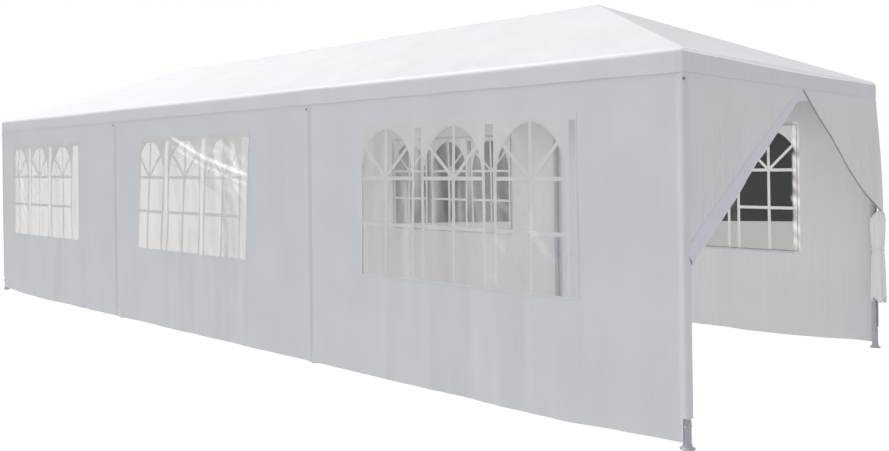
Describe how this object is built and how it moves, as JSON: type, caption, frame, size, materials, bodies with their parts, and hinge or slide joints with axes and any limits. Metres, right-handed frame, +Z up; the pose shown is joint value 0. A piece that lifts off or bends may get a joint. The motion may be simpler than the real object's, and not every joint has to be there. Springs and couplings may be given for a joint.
{
  "type": "marquee tent",
  "caption": "Long marquee tent with a hipped cloth roof and valance on a steel tube frame, side walls with clear arched windows, and an open doorway at each end.",
  "frame": {"origin": "on the ground, under the centre of the tent's bounding box", "axes": "+X along the ridge towards the doorway nearest the camera, -Y out of the long wall nearest the camera, +Z up"},
  "size_m": [9.1278, 3.0248, 2.6],
  "materials": {
    "leg_steel": "satin grey",
    "fitting_steel": "satin grey",
    "pole_steel": "satin grey",
    "cover_cloth": "coated woven plastic, faintly glossy",
    "wall_cloth": "coated woven plastic, faintly glossy",
    "door_cloth": "coated woven plastic, faintly glossy",
    "window_film": "clear soft film"
  },
  "bodies": {
    "root": {"leg_front_right": "leg_steel", "leg_back_right": "leg_steel", "leg_back_left": "leg_steel", "leg_front_left": "leg_steel", "leg_front_middle_left": "leg_steel", "leg_front_middle_right": "leg_steel", "leg_back_middle_left": "leg_steel", "leg_back_middle_right": "leg_steel", "eave_fitting_front_right": "fitting_steel", "eave_fitting_back_right": "fitting_steel", "eave_fitting_back_left": "fitting_steel", "eave_fitting_front_left": "fitting_steel", "eave_fitting_front_middle_left": "fitting_steel", "eave_fitting_front_middle_right": "fitting_steel", "eave_fitting_back_middle_left": "fitting_steel", "eave_fitting_back_middle_right": "fitting_steel", "eave_pole_front_left": "pole_steel", "eave_pole_front_middle": "pole_steel", "eave_pole_front_right": "pole_steel", "eave_pole_back_left": "pole_steel", "eave_pole_back_middle": "pole_steel", "eave_pole_back_right": "pole_steel", "eave_pole_left_end": "pole_steel", "eave_pole_right_end": "pole_steel", "hip_rafter_front_right": "pole_steel", "hip_rafter_back_right": "pole_steel", "hip_rafter_back_left": "pole_steel", "hip_rafter_front_left": "pole_steel", "side_rafter_front_middle_left": "pole_steel", "side_rafter_front_middle_right": "pole_steel", "side_rafter_back_middle_left": "pole_steel", "side_rafter_back_middle_right": "pole_steel", "ridge_pole_left": "pole_steel", "ridge_pole_middle": "pole_steel", "ridge_pole_right": "pole_steel", "ridge_fitting_left_end": "fitting_steel", "ridge_fitting_right_end": "fitting_steel", "ridge_fitting_middle_left": "fitting_steel", "ridge_fitting_middle_right": "fitting_steel", "roof_cover": "cover_cloth", "side_wall_front_left": "wall_cloth", "side_wall_front_middle": "wall_cloth", "side_wall_front_right": "wall_cloth", "side_wall_back_left": "wall_cloth", "side_wall_back_middle": "wall_cloth", "side_wall_back_right": "wall_cloth", "window_film_front_left": "window_film", "window_film_front_middle": "window_film", "window_film_front_right": "window_film", "window_film_back_left": "window_film", "window_film_back_middle": "window_film", "window_film_back_right": "window_film", "door_wall_left": "door_cloth", "door_wall_right": "door_cloth"}
  },
  "joints": []
}
